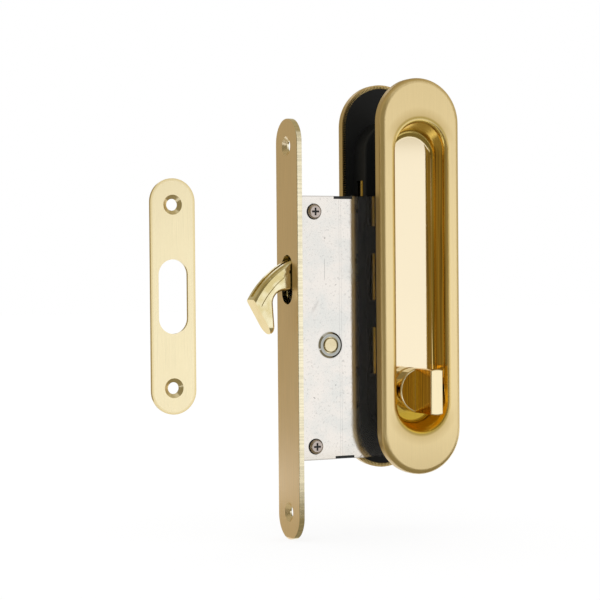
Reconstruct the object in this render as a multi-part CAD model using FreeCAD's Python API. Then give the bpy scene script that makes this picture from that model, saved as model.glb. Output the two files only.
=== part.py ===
import FreeCAD, Part
import math
import os

# Pocket door lock set: a mortise hook lock with a flush pull on each door face and its strike plate.
# Millimetres. X = 0 is the seating face of the forend and -X points to the door jamb.
# The front pull faces -Y, +Z is up, and Z = 0 is the middle of the forend.

V = FreeCAD.Vector
Y_AXIS = V(0, 1, 0)

# Driving dimensions of the lock
DOOR_T = 33.0
FOREND_W = 22.0
FOREND_H = 191.0
FOREND_T = 2.6
FOREND_HOLES = 166.0
CASE_T = 11.6
CASE_H = 120.0
CASE_TOP = CASE_H / 2 + 0.5
CASE_BOTTOM = CASE_TOP - CASE_H
CASE_D = 70.0
SHEET = 0.9
HOOK_T = 9.0
HOOK_ANGLE = 44.0
PIVOT_X = 16.1
PIVOT_Z = -7.4

# Driving dimensions of the pulls
PULL_W = 41.0
PULL_H = 181.0
PULL_X = CASE_D - 15.1
PULL_Z = 23.5
RIM = 5.5
SKIN = 0.8
EDGE_R = 2.4
LIP_R = 2.5
PAN_HALF = 12.5
PAN_HALF_LEN = 70.6
PAN_DEPTH = 9.9
PAN_SIDE_TAPER = 0.4
PAN_END_TAPER = 3.6
FLOOR_R = 1.4
TURN_DROP = 52.2
TURN_X = PULL_X
TURN_Z = PULL_Z - TURN_DROP
TURN_ANGLE = 90.0
TURN_PROUD = 13.4

# Driving dimensions of the strike plate
STRIKE_X = -58.0
STRIKE_Z = 15.7
STRIKE_W = 21.0
STRIKE_H = 104.2
STRIKE_T = 1.6
STRIKE_HOLES = 80.9

# Screws and their holes
WOOD_SCREW_D = 5.2
WOOD_HEAD_D = 8.8
CASE_SCREW_D = 3.0
CASE_HEAD_D = 6.5
CASE_HEAD_H = 1.7
THROUGH_SCREW_D = 4.0
SLEEVE_D = 7.0

# Clearances
SNUG = 0.02
BEARING = 0.08
SLIDE_GAP = 0.2
CRANK_GAP = 0.45
FREE = 0.4

# Planes along Y that the other sizes give
CASE_Y = CASE_T / 2
INNER_Y = CASE_Y - SHEET
SEAT_Y = DOOR_T / 2
FACE_Y = SEAT_Y + RIM
PAN_Y = FACE_Y - PAN_DEPTH
HOOK_Y = HOOK_T / 2
HOOK_STEP_Y = 1.1
SLIDE_Y0 = HOOK_STEP_Y + FREE
SLIDE_Y1 = INNER_Y - 2 * FREE

# Mechanism: the crank of the follower drives the slide, and the slide drives the hook's tail
CRANK_R = 9.0
CRANK_PIN_D = 3.5
TRAVEL = 2 * CRANK_R * math.sin(math.radians(TURN_ANGLE / 2))
TAIL_R = TRAVEL / (2 * math.sin(math.radians(HOOK_ANGLE / 2)))
TAIL_PIN_D = 4.0
TAIL_END_R = 4.4
HUB_R = 5.0
JOURNAL_D = 12.0
SPINDLE = 5.0
TAIL_X = PIVOT_X + TRAVEL / 2
TAIL_LOW_Z = PIVOT_Z - TAIL_R
TAIL_HIGH_Z = PIVOT_Z - TAIL_R * math.cos(math.radians(HOOK_ANGLE / 2))
CRANK_X = TURN_X + TRAVEL / 2
CRANK_HIGH_Z = TURN_Z + CRANK_R
CRANK_LOW_Z = TURN_Z + CRANK_R * math.cos(math.radians(TURN_ANGLE / 2))
GUIDE_PIN_D = 4.0
GUIDE_X = (PIVOT_X + 13.9, PIVOT_X + 24.9)
GUIDE_Z = TURN_Z + 9.7

# Slot of the hook in the forend
SLOT_W = 11.0
SLOT_TOP = 33.8
SLOT_BOTTOM = 11.3

# Case screws stand on posts at the four corners
POST_X = (8.4, CASE_D - 8.0)
POST_Z = CASE_H / 2 - 6.7
POST_D = 6.0

# Sheet edge notches in the middle of the case's top and bottom
NOTCH_X = (PIVOT_X + 2.3, PIVOT_X + 11.9)

# The pulls are bolted together through the door here, measured from the middle of the pull
FIXING_DZ = (56.0, -24.0)


def cyl(x, z, radius, y0, y1):
    return Part.makeCylinder(radius, y1 - y0, V(x, y0, z), Y_AXIS)


def box(x0, x1, y0, y1, z0, z1):
    return Part.makeBox(x1 - x0, y1 - y0, z1 - z0, V(x0, y0, z0))


def cone(x, z, radius0, y0, radius1, y1):
    return Part.makeCone(radius0, radius1, y1 - y0, V(x, y0, z), Y_AXIS)


def oval_wire(x, z, half_w, half_l, y):
    straight = half_l - half_w
    right = [V(x + half_w, y, z - straight), V(x + half_w, y, z + straight)]
    left = [V(x - half_w, y, z + straight), V(x - half_w, y, z - straight)]
    top = Part.Arc(right[1], V(x, y, z + half_l), left[0]).toShape()
    bottom = Part.Arc(left[1], V(x, y, z - half_l), right[0]).toShape()
    sides = [Part.LineSegment(*right).toShape(), Part.LineSegment(*left).toShape()]
    return Part.Wire([sides[0], top, sides[1], bottom])


def oval(x, z, half_w, half_l, y0, y1):
    return Part.Face(oval_wire(x, z, half_w, half_l, y0)).extrude(V(0, y1 - y0, 0))


def oval_taper(x, z, first, y0, second, y1):
    wires = [oval_wire(x, z, first[0], first[1], y0), oval_wire(x, z, second[0], second[1], y1)]
    return Part.makeLoft(wires, True, True)


def edges_at_y(shape, y, x=None, reach=None):
    found = []
    for edge in shape.Edges:
        inside = abs(edge.BoundBox.YMin - y) < 1e-4 and abs(edge.BoundBox.YMax - y) < 1e-4
        if inside and reach is not None:
            inside = max(abs(edge.BoundBox.XMin - x), abs(edge.BoundBox.XMax - x)) < reach
        if inside:
            found.append(edge)
    return found


def cut_all(shape, tools):
    for tool in tools:
        shape = shape.cut(tool)
    return shape


def fuse_all(shapes):
    result = shapes[0].multiFuse(shapes[1:]) if len(shapes) > 1 else shapes[0]
    return result.removeSplitter()


def cross_recess(x, z, half_l, half_w, y0, y1):
    bars = [box(x - half_l, x + half_l, y0, y1, z - half_w, z + half_w),
            box(x - half_w, x + half_w, y0, y1, z - half_l, z + half_l)]
    return bars[0].fuse(bars[1])


def mirrored(shape):
    return shape.mirror(V(0, 0, 0), Y_AXIS)


# Forend: brass-faced plate with full round ends, two countersunk holes and the hook's slot
def forend():
    outline = oval_wire(0, 0, FOREND_W / 2, FOREND_H / 2, 0)
    plate = Part.Face(outline).extrude(V(0, FOREND_T, 0))
    slot_mid = (SLOT_TOP + SLOT_BOTTOM) / 2
    slot_half = (SLOT_TOP - SLOT_BOTTOM) / 2
    plate = plate.cut(oval(0, slot_mid, SLOT_W / 2, slot_half, -1, FOREND_T + 1))
    sink = (WOOD_HEAD_D - WOOD_SCREW_D) / 2
    for z in (-FOREND_HOLES / 2, FOREND_HOLES / 2):
        plate = plate.cut(cyl(0, z, WOOD_SCREW_D / 2, -1, FOREND_T + 1))
        plate = plate.cut(cone(0, z, WOOD_HEAD_D / 2, 0, WOOD_SCREW_D / 2, sink))
    plate = plate.makeFillet(0.35, edges_at_y(plate, 0, 0, FOREND_W)[:4])
    plate.rotate(V(0, 0, 0), V(0, 0, 1), -90)
    plate.translate(V(-FOREND_T, 0, 0))
    return plate


def case_openings(y0, y1):
    tools = [cyl(TURN_X, TURN_Z, JOURNAL_D / 2 + BEARING, y0, y1)]
    tools.append(cyl(PULL_X, PULL_Z + FIXING_DZ[1], SLEEVE_D / 2 + FREE, y0, y1))
    return tools


def notches(y0, y1, depth):
    tools = []
    for low, high in ((CASE_BOTTOM - 1, CASE_BOTTOM + depth), (CASE_TOP - depth, CASE_TOP + 1)):
        tools.append(box(NOTCH_X[0], NOTCH_X[1], y0, y1, low, high))
    return tools


# Case tray: pressed steel box, open to the front, welded to the back of the forend
def case_tray():
    outer = box(0, CASE_D, -INNER_Y, CASE_Y, CASE_BOTTOM, CASE_TOP)
    inner = box(SHEET, CASE_D - SHEET, -INNER_Y - 1, INNER_Y, CASE_BOTTOM + SHEET, CASE_TOP - SHEET)
    tray = outer.cut(inner)
    tray = cut_all(tray, case_openings(INNER_Y - 1, CASE_Y + 1))
    tray = cut_all(tray, notches(-INNER_Y - 1, -INNER_Y + 3.0, 2.0))
    tray = tray.cut(box(-1, SHEET + 1, -CASE_T, INNER_Y, SLOT_BOTTOM - 2, SLOT_TOP + 2))
    tray = tray.cut(cyl(PIVOT_X, PIVOT_Z, 3.35 + SNUG, INNER_Y - 1, CASE_Y + 1))
    for x in GUIDE_X:
        tray = tray.cut(cyl(x, GUIDE_Z, 1.5 + SNUG, INNER_Y - 1, CASE_Y + 1))
    return tray


# Case cover: plate with an embossed boss at the hook's pivot, four screw holes and edge notches
def case_cover():
    cover = box(0, CASE_D, -CASE_Y, -INNER_Y, CASE_BOTTOM, CASE_TOP)
    corners = [e for e in cover.Edges if abs(e.BoundBox.XMin - CASE_D) < 1e-4 and e.BoundBox.YLength > SHEET / 2
               and e.BoundBox.ZLength < 1e-4 and e.BoundBox.XLength < 1e-4]
    cover = cover.makeFillet(2.0, corners)
    boss = cone(PIVOT_X, PIVOT_Z, 5.1, -CASE_Y - 0.55, 6.0, -CASE_Y)
    boss = boss.makeFillet(0.35, edges_at_y(boss, -CASE_Y - 0.55))
    dish = cyl(PIVOT_X, PIVOT_Z, 3.85, -CASE_Y - 1, -INNER_Y + 1)
    cover = cover.fuse(boss).cut(dish)
    cover = cut_all(cover, case_openings(-CASE_Y - 1, -INNER_Y + 1))
    cover = cut_all(cover, notches(-CASE_Y - 1, -INNER_Y + 1, 1.4))
    front_x, rear_x = POST_X
    for z in (-POST_Z, POST_Z):
        cover = cover.cut(cyl(front_x, z, CASE_SCREW_D / 2 + SNUG, -CASE_Y - 1, -INNER_Y + 1))
        cover = cover.cut(cone(rear_x, z, CASE_HEAD_D / 2 + SNUG, -CASE_Y, CASE_SCREW_D / 2 + SNUG, -INNER_Y))
    return cover


# Post: round pillar staked to the tray, threaded for a case screw
def case_post(x, z):
    post = cyl(x, z, POST_D / 2, -INNER_Y, INNER_Y)
    return post.cut(cyl(x, z, CASE_SCREW_D / 2 + SNUG, -INNER_Y - 1, -INNER_Y + 7.0))


# Case screw at the forend side: pan head with a cross recess
def pan_screw(x, z):
    head = cyl(x, z, CASE_HEAD_D / 2, -CASE_Y - CASE_HEAD_H, -CASE_Y)
    head = head.makeFillet(0.9, edges_at_y(head, -CASE_Y - CASE_HEAD_H))
    shank = cyl(x, z, CASE_SCREW_D / 2, -CASE_Y, -INNER_Y + 6.0)
    recess = cross_recess(x, z, 1.75, 0.45, -CASE_Y - 2, -CASE_Y - 0.4)
    return head.fuse(shank).cut(recess)


# Case screw under the pull: flush head in the cover, so that the pull's box lies flat on the case
def flush_screw(x, z):
    head = cone(x, z, CASE_HEAD_D / 2, -CASE_Y, CASE_SCREW_D / 2, -INNER_Y)
    shank = cyl(x, z, CASE_SCREW_D / 2, -INNER_Y, -INNER_Y + 6.0)
    return head.fuse(shank).cut(cross_recess(x, z, 1.5, 0.4, -CASE_Y - 1, -CASE_Y + 0.7))


def turned(x, z, radius, degrees):
    angle = math.radians(degrees)
    return V(x + radius * math.cos(angle), 0, z + radius * math.sin(angle))


def at(dx, dz):
    return V(PIVOT_X + dx, 0, PIVOT_Z + dz)


def line(a, b):
    return Part.LineSegment(a, b).toShape()


def arc(a, b, c):
    return Part.Arc(a, b, c).toShape()


# Hook blade: outline seen from the front, about the pivot
HOOK_R = 42.6
BLADE_BOSS_R = 6.2
THROAT = (-27.9, 25.1)
UNDER = (-8.6, 24.7)
HEEL = (6.2, 31.0)
TIP_ROUND = 4.0
EDGE_ROUND = 1.5
STEP_R = HOOK_R - 1.1
GROOVE_R = (HOOK_R - 4.7, HOOK_R - 3.3)
STEP_X = (PIVOT_X - 36.3, PIVOT_X - 6.0)
GROOVE_X = (PIVOT_X - 33.5, PIVOT_X - 8.0)
STEP_Z = (PIVOT_Z + 15.0, PIVOT_Z + HOOK_R + 7.4)


def hook_blade_wire():
    corner = at(-37.1, 21.1)
    back_mid = turned(PIVOT_X, PIVOT_Z, HOOK_R + 0.1, 125)
    back_end = turned(PIVOT_X, PIVOT_Z, HOOK_R, 101)
    boss = at(BLADE_BOSS_R, 0)
    root = at(-BLADE_BOSS_R, 0)
    tip_in = at(-26.5, 5.3)
    tip_out = at(-28.2, 5.4)
    edges = [arc(corner, back_mid, back_end), line(back_end, at(*HEEL)), line(at(*HEEL), boss)]
    edges += [arc(boss, at(0, -BLADE_BOSS_R), root), line(root, at(*UNDER)), line(at(*UNDER), at(*THROAT))]
    edges += [line(at(*THROAT), tip_in), line(tip_in, tip_out), line(tip_out, corner)]
    return Part.Wire(edges)


def corner_edge(shape, place):
    point = at(*place)
    for edge in shape.Edges:
        middle = edge.BoundBox.Center
        if edge.BoundBox.YLength > HOOK_T / 2 and abs(middle.x - point.x) < 1e-3 and abs(middle.z - point.z) < 1e-3:
            return edge


def matching_edges(shape, wanted):
    found = []
    for edge in shape.Edges:
        if any(edge.BoundBox.Center.distanceToPoint(other.BoundBox.Center) < 1e-3 for other in wanted):
            found.append(edge)
    return found


def hook_blade():
    blade = Part.Face(hook_blade_wire()).extrude(V(0, HOOK_T, 0))
    blade.translate(V(0, -HOOK_Y, 0))
    for place, radius in ((THROAT, 5.5), (UNDER, 3.0), (HEEL, 8.0)):
        blade = blade.makeFillet(radius, [corner_edge(blade, place)])
    back = []
    shelf = []
    tip = []
    for edge in edges_at_y(blade, -HOOK_Y) + edges_at_y(blade, HOOK_Y):
        room = edge.BoundBox
        if room.XMin < PIVOT_X - 36 and room.ZMax > PIVOT_Z + 41:
            back.append(edge)
        if room.ZLength < 1 and room.XLength > 8 and room.ZMax < PIVOT_Z + 26:
            shelf.append(edge)
        if room.ZMax < PIVOT_Z + 5.6 and room.XMax < PIVOT_X - 26:
            tip.append(edge)
    blade = blade.makeFillet(TIP_ROUND, tip)
    blade = blade.makeFillet(EDGE_ROUND, matching_edges(blade, back))
    return blade.makeFillet(EDGE_ROUND, matching_edges(blade, shelf))


def hook_bolt():
    blade = hook_blade()
    ring = cyl(PIVOT_X, PIVOT_Z, HOOK_R + 2, -1.3, 1.3).cut(cyl(PIVOT_X, PIVOT_Z, STEP_R, -2, 2))
    blade = blade.cut(ring.common(box(*STEP_X, -2, 2, *STEP_Z)))
    for y0, y1 in ((-HOOK_Y - 1, -HOOK_Y + 0.5), (HOOK_Y - 0.5, HOOK_Y + 1)):
        groove = cyl(PIVOT_X, PIVOT_Z, GROOVE_R[1], y0, y1).cut(cyl(PIVOT_X, PIVOT_Z, GROOVE_R[0], y0, y1))
        blade = blade.cut(groove.common(box(*GROOVE_X, y0, y1, *STEP_Z)))
    tail_end = at(TRAVEL / 2, TAIL_HIGH_Z - PIVOT_Z)
    lean = math.atan2(tail_end.x - PIVOT_X, PIVOT_Z - tail_end.z)
    side = V(math.cos(lean), 0, math.sin(lean))
    centre = at(0, 0)
    points = [centre - side * 8.5, centre + side * 8.5, tail_end + side * TAIL_END_R, tail_end - side * TAIL_END_R]
    tail = Part.Face(Part.makePolygon(points + [points[0]])).extrude(V(0, HOOK_Y + HOOK_STEP_Y, 0))
    tail.translate(V(0, -HOOK_Y, 0))
    pads = [cyl(PIVOT_X, PIVOT_Z, 9.2, -HOOK_Y, HOOK_STEP_Y), cyl(tail_end.x, tail_end.z, TAIL_END_R, -HOOK_Y, HOOK_STEP_Y)]
    bolt = fuse_all([blade, tail] + pads)
    bolt = bolt.cut(cyl(PIVOT_X, PIVOT_Z, 4.0 + BEARING, -CASE_T, CASE_T))
    return bolt.cut(cyl(tail_end.x, tail_end.z, TAIL_PIN_D / 2 + SNUG, -CASE_T, CASE_T))


# Pivot pin: shouldered, its front end shows in the middle of the embossed boss
def pivot_pin():
    front = cyl(PIVOT_X, PIVOT_Z, 3.35, -CASE_Y - 0.75, -INNER_Y)
    front = front.makeFillet(0.5, edges_at_y(front, -CASE_Y - 0.75))
    back = cyl(PIVOT_X, PIVOT_Z, 3.35, INNER_Y, CASE_Y)
    return fuse_all([front, cyl(PIVOT_X, PIVOT_Z, 4.0, -INNER_Y, INNER_Y), back])


def tail_pin():
    return cyl(TAIL_X, TAIL_HIGH_Z, TAIL_PIN_D / 2, -HOOK_Y + 0.5, SLIDE_Y1 + 0.1)


# Drive slide: flat steel link with a slot for the tail pin, a guide slot and a fork for the crank pin
def drive_slide():
    left = TAIL_X - TAIL_PIN_D / 2 - SLIDE_GAP - 1.8
    right = CRANK_X + CRANK_PIN_D / 2 + CRANK_GAP + 2.6
    low = TURN_Z + HUB_R + FREE
    top = GUIDE_Z + GUIDE_PIN_D / 2 + 2.3
    tail_top = TAIL_HIGH_Z + TAIL_PIN_D / 2 + 2.2
    tail_low = TAIL_LOW_Z - TAIL_PIN_D / 2 - 2.0
    tail_right = TAIL_X + TAIL_PIN_D / 2 + SLIDE_GAP + 2.0
    link = box(tail_right - 3.0, right, SLIDE_Y0, SLIDE_Y1, low, top)
    end = box(left, tail_right, SLIDE_Y0, SLIDE_Y1, tail_low, tail_top)
    slide = link.fuse(end).removeSplitter()
    half = TAIL_PIN_D / 2 + SLIDE_GAP
    reach = (TAIL_HIGH_Z - TAIL_LOW_Z) / 2 + half + 0.2
    slide = slide.cut(oval(TAIL_X, (TAIL_LOW_Z + TAIL_HIGH_Z) / 2, half, reach, SLIDE_Y0 - 1, SLIDE_Y1 + 1))
    half = CRANK_PIN_D / 2 + CRANK_GAP
    slide = slide.cut(cyl(CRANK_X, CRANK_HIGH_Z, half, SLIDE_Y0 - 1, SLIDE_Y1 + 1))
    slide = slide.cut(box(CRANK_X - half, CRANK_X + half, SLIDE_Y0 - 1, SLIDE_Y1 + 1, low - 1, CRANK_HIGH_Z))
    half = GUIDE_PIN_D / 2 + SLIDE_GAP
    slot0 = GUIDE_X[0] - half
    slot1 = GUIDE_X[1] + half + TRAVEL + 0.3
    slide = slide.cut(box(slot0 + half, slot1 - half, SLIDE_Y0 - 1, SLIDE_Y1 + 1, GUIDE_Z - half, GUIDE_Z + half))
    for x in (slot0 + half, slot1 - half):
        slide = slide.cut(cyl(x, GUIDE_Z, half, SLIDE_Y0 - 1, SLIDE_Y1 + 1))
    return slide


# Guide pin: riveted in the tray, carries the slide
def guide_pin(x):
    head = cyl(x, GUIDE_Z, 3.1, SLIDE_Y0 - FREE - 1.2, SLIDE_Y0 - FREE)
    shank = cyl(x, GUIDE_Z, GUIDE_PIN_D / 2, SLIDE_Y0 - FREE, INNER_Y)
    rivet = cyl(x, GUIDE_Z, 1.5, INNER_Y, CASE_Y)
    return fuse_all([head, shank, rivet])


# Follower: hub with a square hole, two journals in the case and a crank pin
def follower_hub():
    journals = [cyl(TURN_X, TURN_Z, JOURNAL_D / 2, -CASE_Y, -INNER_Y), cyl(TURN_X, TURN_Z, JOURNAL_D / 2, INNER_Y - FREE, CASE_Y)]
    disc = cyl(TURN_X, TURN_Z, 8.0, -INNER_Y + FREE, HOOK_STEP_Y)
    neck = cyl(TURN_X, TURN_Z, JOURNAL_D / 2, -INNER_Y, -INNER_Y + FREE)
    core = cyl(TURN_X, TURN_Z, HUB_R, HOOK_STEP_Y, INNER_Y)
    end = cyl(CRANK_X, CRANK_LOW_Z, 3.2, -INNER_Y + FREE, HOOK_STEP_Y)
    out = V(1, 0, 1).normalize() * 3.2
    across = V(-out.z, 0, out.x)
    centre = V(TURN_X, -INNER_Y + FREE, TURN_Z)
    tip = V(CRANK_X, -INNER_Y + FREE, CRANK_LOW_Z)
    points = [centre - across * 2, tip - across, tip + across, centre + across * 2]
    arm = Part.Face(Part.makePolygon(points + [points[0]])).extrude(V(0, HOOK_STEP_Y + INNER_Y - FREE, 0))
    pin = cyl(CRANK_X, CRANK_LOW_Z, CRANK_PIN_D / 2, -1.0, SLIDE_Y1 + 0.1)
    hub = fuse_all(journals + [disc, neck, core, end, arm, pin])
    half = SPINDLE / 2 + BEARING / 2
    return hub.cut(box(TURN_X - half, TURN_X + half, -CASE_T, CASE_T, TURN_Z - half, TURN_Z + half))


# Square spindle through the lock, from the thumb turn to the release on the other face
def square_spindle():
    half = SPINDLE / 2
    return box(TURN_X - half, TURN_X + half, -PAN_Y - 5.2, PAN_Y + 1.6, TURN_Z - half, TURN_Z + half)


# Pull shell: one pressed brass skin, made here for the front and mirrored for the back
def pan(grow, y_floor):
    top = (PAN_HALF + grow, PAN_HALF_LEN + grow)
    floor = (PAN_HALF - PAN_SIDE_TAPER + grow, PAN_HALF_LEN - PAN_END_TAPER + grow)
    return oval_taper(PULL_X, PULL_Z, top, -FACE_Y, floor, y_floor)


def pull_shell(floor_holes):
    plate = oval(PULL_X, PULL_Z, PULL_W / 2, PULL_H / 2, -FACE_Y, -SEAT_Y)
    plate = plate.makeFillet(EDGE_R, edges_at_y(plate, -FACE_Y))
    pan_out = pan(SKIN, -PAN_Y + SKIN)
    pan_out = pan_out.makeFillet(FLOOR_R + SKIN, edges_at_y(pan_out, -PAN_Y + SKIN))
    body = plate.fuse(pan_out).cut(pan(0, -PAN_Y))
    body = body.makeFillet(FLOOR_R, edges_at_y(body, -PAN_Y))
    body = body.makeFillet(LIP_R, edges_at_y(body, -FACE_Y, PULL_X, PAN_HALF + LIP_R))
    under = oval(PULL_X, PULL_Z, PULL_W / 2 - SKIN, PULL_H / 2 - SKIN, -FACE_Y + SKIN, -SEAT_Y + 1)
    under = under.makeFillet(EDGE_R - SKIN, edges_at_y(under, -FACE_Y + SKIN))
    under = under.cut(pan(SKIN, -PAN_Y + SKIN))
    under = under.makeFillet(LIP_R - SKIN, edges_at_y(under, -FACE_Y + SKIN, PULL_X, PAN_HALF + LIP_R))
    return cut_all(body.cut(under), floor_holes)


# Pull backing: black moulded plate inside the rim with a windowed box around the pan
BOX_HALF = PAN_HALF + 1.8
BOX_LEN = PAN_HALF_LEN + 1.8
BOX_WALL = 0.85
BACK_WALL = 1.5
WINDOW_H = 21.6
WINDOW_PITCH = 34.2


def pull_backing(back_holes):
    lip_y = -SEAT_Y - 2.0
    inner_y = -CASE_Y - BACK_WALL
    plate = oval(PULL_X, PULL_Z, PULL_W / 2 - SKIN - 0.1, PULL_H / 2 - SKIN - 0.1, lip_y, -SEAT_Y)
    outer = oval_taper(PULL_X, PULL_Z, (BOX_HALF, BOX_LEN), lip_y, (BOX_HALF - 0.3, BOX_LEN - 0.3), -CASE_Y)
    outer = outer.makeFillet(1.0, edges_at_y(outer, -CASE_Y))
    top = (BOX_HALF - BOX_WALL, BOX_LEN - BOX_WALL)
    deep = (BOX_HALF - BOX_WALL - 0.3, BOX_LEN - BOX_WALL - 0.3)
    hollow = oval_taper(PULL_X, PULL_Z, top, lip_y, deep, inner_y)
    backing = plate.fuse(outer).cut(hollow)
    for step in (-1, 0, 1):
        z = PULL_Z + step * WINDOW_PITCH
        low, high = z - WINDOW_H / 2, z + WINDOW_H / 2
        window = box(PULL_X - PULL_W / 2, PULL_X + PULL_W / 2, -SEAT_Y + 1.9, -CASE_Y - 2.6, low, high)
        backing = backing.cut(window)
    return cut_all(backing, back_holes)


def turn_hole(radius):
    return cyl(TURN_X, TURN_Z, radius, -PAN_Y - 1, 0)


def fixing_holes(radius, y0, y1):
    return [cyl(PULL_X, PULL_Z + dz, radius, y0, y1) for dz in FIXING_DZ]


SHAFT_D = 9.0


def front_pull_shell():
    return pull_shell([turn_hole(SHAFT_D / 2 + BEARING)])


def front_pull_backing():
    return pull_backing([turn_hole(7.0)] + fixing_holes(SLEEVE_D / 2 + SNUG, -PAN_Y, 0))


def back_pull_shell():
    holes = [turn_hole(SHAFT_D / 2 + BEARING)] + fixing_holes(THROUGH_SCREW_D / 2 + 0.3, -PAN_Y - 1, -PAN_Y + 2)
    return mirrored(pull_shell(holes))


def back_pull_backing():
    return mirrored(pull_backing([turn_hole(7.0)] + fixing_holes(SLEEVE_D / 2 + FREE, -PAN_Y, 0)))


# Thumb turn: drum on the pan floor with a waisted grip across it and a shaft behind
DRUM_R = 10.3
DRUM_FACE_Y = -FACE_Y + 2.2
GRIP_FRONT = 6.2
GRIP_WAIST = 4.8


def turn_shaft(y0, y1):
    shaft = cyl(TURN_X, TURN_Z, SHAFT_D / 2, y0, y1)
    groove = cyl(TURN_X, TURN_Z, SHAFT_D, y1 - 1.2, y1 - 0.5).cut(cyl(TURN_X, TURN_Z, 3.9, y1 - 1.2, y1 - 0.5))
    return shaft.cut(groove)


SHAFT_END_Y = -PAN_Y + SKIN + 1.6


def turn_knob():
    base_y = -PAN_Y - 0.3
    drum = cyl(TURN_X, TURN_Z, DRUM_R, DRUM_FACE_Y, base_y)
    drum = drum.makeFillet(0.8, edges_at_y(drum, DRUM_FACE_Y))
    drum = drum.makeChamfer(1.0, edges_at_y(drum, base_y))
    tip_y = -FACE_Y - TURN_PROUD
    z0 = TURN_Z - DRUM_R - 1
    front = GRIP_FRONT / 2
    waist = GRIP_WAIST / 2
    waist_y = DRUM_FACE_Y + 0.35 * (tip_y - DRUM_FACE_Y)
    left = [V(TURN_X - front, tip_y, z0), V(TURN_X - waist, waist_y, z0), V(TURN_X - waist - 0.2, DRUM_FACE_Y + 1, z0)]
    right = [V(2 * TURN_X - p.x, p.y, p.z) for p in reversed(left)]
    edges = [arc(*left), line(left[2], right[0]), arc(*right), line(right[2], left[0])]
    grip = Part.Face(Part.Wire(edges)).extrude(V(0, 0, 2 * DRUM_R + 2))
    grip = grip.common(cyl(TURN_X, TURN_Z, DRUM_R, tip_y, DRUM_FACE_Y + 1))
    grip = grip.makeFillet(0.45, edges_at_y(grip, tip_y))
    knob = fuse_all([drum, grip, turn_shaft(base_y, SHAFT_END_Y)])
    half = SPINDLE / 2 + BEARING / 2
    return knob.cut(box(TURN_X - half, TURN_X + half, -PAN_Y - 5.4, 0, TURN_Z - half, TURN_Z + half))


# Release: low button in the back pull's pan with a coin slot
def emergency_release():
    top_y = -PAN_Y - 4.3
    button = cyl(TURN_X, TURN_Z, 8.0, top_y, -PAN_Y - 0.3)
    button = button.makeFillet(0.8, edges_at_y(button, top_y))
    release = fuse_all([button, turn_shaft(-PAN_Y - 0.3, SHAFT_END_Y)])
    slot = box(TURN_X - 0.9, TURN_X + 0.9, top_y - 1, top_y + 1.6, TURN_Z - 6.0, TURN_Z + 6.0)
    half = SPINDLE / 2 + BEARING / 2
    socket = box(TURN_X - half, TURN_X + half, -PAN_Y - 1.9, 0, TURN_Z - half, TURN_Z + half)
    return mirrored(release.cut(slot).cut(socket))


# Clip: spring ring in the groove of a turn shaft, behind the pan floor
def shaft_clip():
    y0 = SHAFT_END_Y - 1.2 + SNUG
    y1 = SHAFT_END_Y - 0.5 - SNUG
    ring = cyl(TURN_X, TURN_Z, 6.2, y0, y1).cut(cyl(TURN_X, TURN_Z, 3.9 + SNUG, y0 - 1, y1 + 1))
    return ring.cut(box(TURN_X - 2.2, TURN_X + 2.2, y0 - 1, y1 + 1, TURN_Z - 8, TURN_Z))


# Sleeve: threaded tube pressed in the front backing, through the door to the back pull
def fixing_sleeve(z):
    head = cyl(PULL_X, z, 5.5, -CASE_Y - BACK_WALL - 1.5, -CASE_Y - BACK_WALL)
    tube = cyl(PULL_X, z, SLEEVE_D / 2, -CASE_Y - BACK_WALL, CASE_Y - 0.2)
    bore = cyl(PULL_X, z, THROUGH_SCREW_D / 2 + SNUG, -CASE_Y - BACK_WALL - 0.6, CASE_Y + 1)
    return fuse_all([head, tube]).cut(bore)


# Through screw: from the back pull's pan into the sleeve
def through_screw(z):
    head = cyl(PULL_X, z, 3.9, PAN_Y, PAN_Y + 2.2)
    head = head.makeFillet(1.2, edges_at_y(head, PAN_Y + 2.2))
    shank = cyl(PULL_X, z, THROUGH_SCREW_D / 2, -4.0, PAN_Y)
    recess = cross_recess(PULL_X, z, 2.1, 0.5, PAN_Y + 0.5, PAN_Y + 3)
    return fuse_all([head, shank]).cut(recess)


# Strike plate: flat plate with full round ends, two countersunk holes and the hook's slot
STRIKE_SLOT_W = 13.8
STRIKE_SLOT_TOP = 32.1
STRIKE_SLOT_BOTTOM = -0.8


def strike_plate():
    plate = oval(STRIKE_X, STRIKE_Z, STRIKE_W / 2, STRIKE_H / 2, 0, STRIKE_T)
    sink = (WOOD_HEAD_D - WOOD_SCREW_D) / 2 * 0.6
    for z in (STRIKE_Z - STRIKE_HOLES / 2, STRIKE_Z + STRIKE_HOLES / 2):
        plate = plate.cut(cyl(STRIKE_X, z, WOOD_SCREW_D / 2, -1, STRIKE_T + 1))
        plate = plate.cut(cone(STRIKE_X, z, WOOD_HEAD_D / 2, 0, WOOD_SCREW_D / 2, sink))
    middle = (STRIKE_SLOT_TOP + STRIKE_SLOT_BOTTOM) / 2
    reach = (STRIKE_SLOT_TOP - STRIKE_SLOT_BOTTOM) / 2
    return plate.cut(oval(STRIKE_X, middle, STRIKE_SLOT_W / 2, reach, -1, STRIKE_T + 1))


def corner_pieces():
    pieces = {}
    for side, x, screw in (("front", POST_X[0], pan_screw), ("rear", POST_X[1], flush_screw)):
        for height, z in (("upper", POST_Z), ("lower", -POST_Z)):
            pieces["case_post_" + side + "_" + height] = case_post(x, z)
            pieces["case_screw_" + side + "_" + height] = screw(x, z)
    return pieces


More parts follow.
